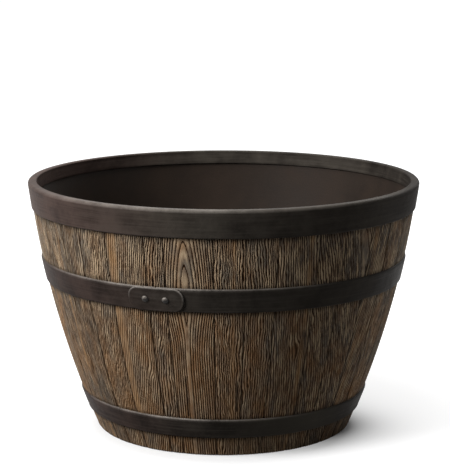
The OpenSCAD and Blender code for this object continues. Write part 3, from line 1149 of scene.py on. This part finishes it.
def outline_stack(name, half_x, half_y, corner, layers, upright=False, lean=(0.0, 0.0), bow=0.0):
    """A solid from layers of inset, height, and wear with painted highlight. The painted highlight
    may lean towards the lit side, and the ends may bow.
    """
    vertices, faces, wear_and_painted_light = [], [], []
    for inset, height, rub_and_painted_light in layers:
        ring = rounded_outline(half_x, half_y, corner, inset)
        ring = [(x * (1 - bow / half_x * (y / half_y) ** 2), y) for x, y in ring]
        vertices += [(x, height, y) if upright else (x, y, height) for x, y in ring]
        wear_and_painted_light += [rub_and_painted_light * max(0.0, 1 + lean[0] * x / half_x + lean[1] * y / half_y) for x, y in ring]
    count = len(ring)
    for level in range(len(layers) - 1):
        for k in range(count):
            a, b = level * count + k, level * count + (k + 1) % count
            faces.append((a, b, b + count, a + count))
    return new_object(name, vertices, faces, {"wear_and_painted_light": wear_and_painted_light})


print("outline stacks are ready")


# %% Tree: lay flat things on the middle hoop
def laid_on_hoop(geometry):
    """Bends flat parts round the wall: x runs along the hoop, y outwards and z up."""
    tree = geometry.tree
    apart = tree.nodes.new("ShaderNodeSeparateXYZ")
    fill(tree, apart.inputs[0], add(tree, "GeometryNodeInputPosition"))
    along, out, up = (Field(tree, socket) * 1000 for socket in apart.outputs)
    z = up + MIDDLE_Z
    azimuth = along / face_r(MIDDLE_Z) + LAP_AZ
    return moved_to(geometry, round_the_axis(azimuth, face_r_field(z) + out, z))


plate_tree, plate_flat, plate_input = new_tree("lap_plate", {})
end_tree(laid_on_hoop(plate_flat), plate_input)
rivet_tree, rivet_flat, rivet_input = new_tree("lap_rivets", {"Count": 2, "Pitch": 26.0})
pitch = rivet_input["Pitch"] / 1000
line_inputs = {
    "Count": rivet_input["Count"],
    "Start Location": vector(rivet_tree, pitch * (1 - rivet_input["Count"]) / 2),
    "Offset": vector(rivet_tree, pitch),
}
rivet_line = add(rivet_tree, "GeometryNodeMeshLine", line_inputs)
rivets_spread = after(rivet_line, "GeometryNodeInstanceOnPoints", {"Instance": rivet_flat})
rivets_real = after(rivets_spread, "GeometryNodeRealizeInstances")
end_tree(laid_on_hoop(rivets_real), rivet_input)
print("plate and rivet trees are ready")

# %% Lap plate
PLATE_LENGTH = 72.0
PLATE_HIGH = 30.7
PLATE_BACK = 2.65
PLATE_FACE = 5.15
PLATE_CORNER = 11.0
PLATE_BOW = 3.0
HALF_PLATE = PLATE_HIGH / 2
plate_layers = [(inset, PLATE_BACK, 0.0) for inset in (HALF_PLATE, 9.0, 4.0, 0.0)]
# The wear values of these layers paint a highlight along the plate's top edge and right end.
plate_layers += [
    (0.0, 4.1, 0.06), (0.15, 4.6, 0.12), (0.5, 4.95, 0.12), (1.0, PLATE_FACE, 0.11),
    (1.6, PLATE_FACE, 0.08), (2.4, PLATE_FACE - 0.2, 0.02), (3.2, PLATE_FACE - 0.25, 0.0),
    (6.0, PLATE_FACE - 0.2, 0.0), (9.0, PLATE_FACE - 0.15, 0.01),
    (12.0, PLATE_FACE - 0.1, 0.01), (HALF_PLATE, PLATE_FACE - 0.1, 0.01),
]
plate = outline_stack(
    "lap_plate_satin", PLATE_LENGTH / 2, HALF_PLATE, PLATE_CORNER, plate_layers, upright=True,
    lean=(0.3, 6.5), bow=PLATE_BOW,
)
freeze(plate, plate_tree, finish=satin)
tidy_shell(plate)
place(plate, "planter", "lap_plate")

# %% Rivets
RIVET_R = 4.5
RIVET_HIGH = 2.8
RIVET_BASE = 5.3
RIVET_SUNK = 0.3
DOME_STEPS = 10
dome_r = (RIVET_R**2 + RIVET_HIGH**2) / 2 / RIVET_HIGH
dome_layers = [(inset, RIVET_BASE - RIVET_SUNK, 0.0) for inset in (RIVET_R, 0.0)]
for k in range(DOME_STEPS + 1):
    rho = RIVET_R * (1 - k / DOME_STEPS)
    dome = RIVET_HIGH - dome_r + sqrt(dome_r**2 - rho**2)
    # A pale ring on the dome, leaned to its top: a painted highlight.
    rub_and_painted_light = 0.2 * sin(pi * k / DOME_STEPS)
    dome_layers.append((RIVET_R - rho, RIVET_BASE + dome, rub_and_painted_light))
rivets = outline_stack(
    "lap_rivets_domed", RIVET_R, RIVET_R, RIVET_R, dome_layers, upright=True, lean=(-1.5, 7.0)
)
freeze(rivets, rivet_tree, finish=riveted)
tidy_shell(rivets)
place(rivets, "planter", "lap_rivets")

# %% [markdown]
# ## Drain plugs
#
# Three rubber plugs close the floor. Each is a turned body with a thin pull grip on it, and each
# rides on its own body, because it lifts out. The grip has three finger ridges.

# %% Drain plugs: outlines
HALF_GRIP_LONG = 8.0
HALF_GRIP_WIDE = 2.0
RIDGE = 0.35
PLUG_PROFILE = (
    (0.0, 7.5), (6.3, 7.5), (7.3, 8.0), (7.7, 9.0), (7.7, 15.15), (12.2, 15.15), (12.7, 15.6),
    (12.7, 17.2), (12.5, 17.7), (12.0, 18.0), (10.9, 18.0), (10.5, 17.6), (9.9, 17.6),
    (9.5, 18.0), (0.0, 18.0),
)
plug_outline = [(r, z, 0.0, 0.0) for r, z in PLUG_PROFILE]
grip_profile = [(HALF_GRIP_WIDE, 17.0), (0.0, 17.0)]
for low in (19.6, 22.0, 24.4):
    grip_profile += [(0.0, low), (-RIDGE, low + 0.6), (-RIDGE, low + 1.2), (0.0, low + 1.8)]
grip_profile += [(0.0, 27.1), (0.25, 27.6), (0.7, 27.9), (1.2, 28.0), (HALF_GRIP_WIDE, 28.0)]
grip_layers = [(inset, z, 0.0) for inset, z in grip_profile]
print("plug and grip have", len(plug_outline), "and", len(grip_layers), "points from low to high")

# %% Drain plugs: the pieces
PLUG_RING = 85.0
PLUG_SEGMENTS = 48


def drain_plug(number):
    """Plug and grip as one mesh, turned and moved to its hole."""
    body = turned_piece(f"drain_plug_{number}_rubber", plug_outline, rubber, PLUG_SEGMENTS)
    grip = outline_stack("grip", HALF_GRIP_LONG, HALF_GRIP_WIDE, HALF_GRIP_WIDE, grip_layers)
    both = bmesh.new()
    both.from_mesh(body.data)
    both.from_mesh(grip.data)
    both.transform(round_to(120 * number, PLUG_RING))
    for face in both.faces:
        face.material_index = 0
    both.to_mesh(body.data)
    both.free()
    body.data.materials.clear()
    body.data.materials.append(rubber)
    # The grip has no such map, so the map is taken off the whole plug
    body.data.uv_layers.remove(body.data.uv_layers[BAKE_MAP])
    bpy.data.objects.remove(grip)
    tidy_shell(body)
    place(body, f"plug_{number}", f"drain_plug_{number}")
    return body


plugs = [drain_plug(number) for number in (1, 2, 3)]
print(len(plugs), "plugs")

# %% [markdown]
# ## Floor, world and lamps
#
# The background is white because the camera sees a bright world and a glowing floor, and so does
# anything that mirrors them. The light that falls on the planter comes from the lamps and a dim
# world, so its own colours come out about as they were written. The floor glows less near the foot
# and in one soft patch on the right, where the planter shades it.

# %% Floor
def shown_or_mirrored(tree):
    """1 for what the camera sees, straight or mirrored, and 0 for light that falls on things."""
    camera_ray = add(tree, "ShaderNodeLightPath", output="Is Camera Ray")
    glossy_ray = add(tree, "ShaderNodeLightPath", output="Is Glossy Ray")
    clear_ray = add(tree, "ShaderNodeLightPath", output="Is Transmission Ray")
    return camera_ray.to("MAXIMUM", glossy_ray).to("MAXIMUM", clear_ray)


FLOOR_HALF = 30000
WHITE = (1.0, 1.0, 1.0, 1.0)
sides = ((-1, -1), (1, -1), (1, 1), (-1, 1))
floor_corners = [(FLOOR_HALF * x, FLOOR_HALF * y, 0) for x, y in sides]
floor = new_object("studio_floor", floor_corners, [(0, 1, 2, 3)])
floor_finish, floor_nodes, floor_shader = new_finish(
    "studio_floor", Roughness=1.0, Specular_IOR_Level=0.0, Emission_Color=WHITE
)
seen = shown_or_mirrored(floor_nodes)
floor_colour = mixed(seen, paint(85, 85, 85), paint(187, 187, 187))
fill(floor_nodes, floor_shader.inputs["Base Color"], floor_colour)
floor.data.materials.append(floor_finish)
print("the floor is", FLOOR_HALF / 500, "metres wide")

# %% Glow of the floor
GLOW_CENTRE = (0.0, -20.0, 0.0)
GLOW_AT_FOOT = 0.51
GLOW_FAR = 0.845
GLOW_REACH = 50.0
FULL_GLOW = (150.0, 600.0)
SHADE_AT = (95.0, -36.0)
SHADE_SIZE = (88.0, 68.0)
LEAST_GLOW = 0.02
here, _ = millimetres(floor_nodes)
two_places = (here, GLOW_CENTRE)
length = add(floor_nodes, "ShaderNodeVectorMath", two_places, "Value", operation="DISTANCE")
from_foot = length - BASE_R
rise = 1 - (from_foot.to("MAXIMUM", 0.0) / -GLOW_REACH).to("EXPONENT")
glow = rise * (GLOW_FAR - GLOW_AT_FOOT) + GLOW_AT_FOOT
glow = glow + step_up(from_foot, *FULL_GLOW) * (1 - GLOW_FAR)
ground_x, ground_y = split(here)
aside = (ground_x - SHADE_AT[0]) / SHADE_SIZE[0]
ahead = (ground_y - SHADE_AT[1]) / SHADE_SIZE[1]
shade = (0 - aside * aside - ahead * ahead).to("EXPONENT")
off_axis = (ground_x * ground_x + ground_y * ground_y).to("SQRT")
uncovered = step_up(off_axis, BASE_R - 30, BASE_R - 10)
glow = limited(glow - shade, LEAST_GLOW) * uncovered
fill(floor_nodes, floor_shader.inputs["Emission Strength"], seen * glow)
print("floor glow", GLOW_AT_FOOT, "at the foot and", GLOW_FAR, "further out")

# %% World
WORLD_DIM = 0.09
world = bpy.data.worlds.new("studio_world")
world.use_nodes = True
bpy.context.scene.world = world
world_nodes = world.node_tree
strength = shown_or_mirrored(world_nodes) * (1 - WORLD_DIM) + WORLD_DIM
fill(world_nodes, world_nodes.nodes["Background"].inputs["Strength"], strength)
world_nodes.nodes["Background"].inputs["Color"].default_value = WHITE
print("the world lights things with a strength of", WORLD_DIM)

# %% [markdown]
# Four square lamps light the planter. The main softbox stands in front on the left, as in the
# photograph.

# %% Lamps
from mathutils import Vector

AIM_AT = Vector((0.0, 0.0, 0.18))


def softbox(name, azimuth, elevation, distance, size, power):
    """A square lamp that looks at the planter. Angles are in degrees and lengths in metres."""
    data = bpy.data.lights.new(name, "AREA")
    data.shape = "SQUARE"
    data.size = size
    data.energy = power
    turn, rise = radians(azimuth), radians(elevation)
    aim = Vector((cos(rise) * sin(turn), -cos(rise) * cos(turn), sin(rise)))
    lamp = in_scene(name, data)
    lamp.location = AIM_AT + aim * distance
    lamp.rotation_euler = aim.to_track_quat("Z", "Y").to_euler()
    return lamp


lamps = [
    softbox("key_softbox", -59, 34, 2.8, 1.3, 88.0),
    softbox("top_softbox", -60, 75, 2.4, 1.4, 30.0),
    softbox("right_card", 85, 4, 2.6, 0.7, 4.8),
    softbox("back_card", 150, 30, 2.8, 1.3, 22.0),
]
print([(lamp.name, lamp.data.energy) for lamp in lamps])
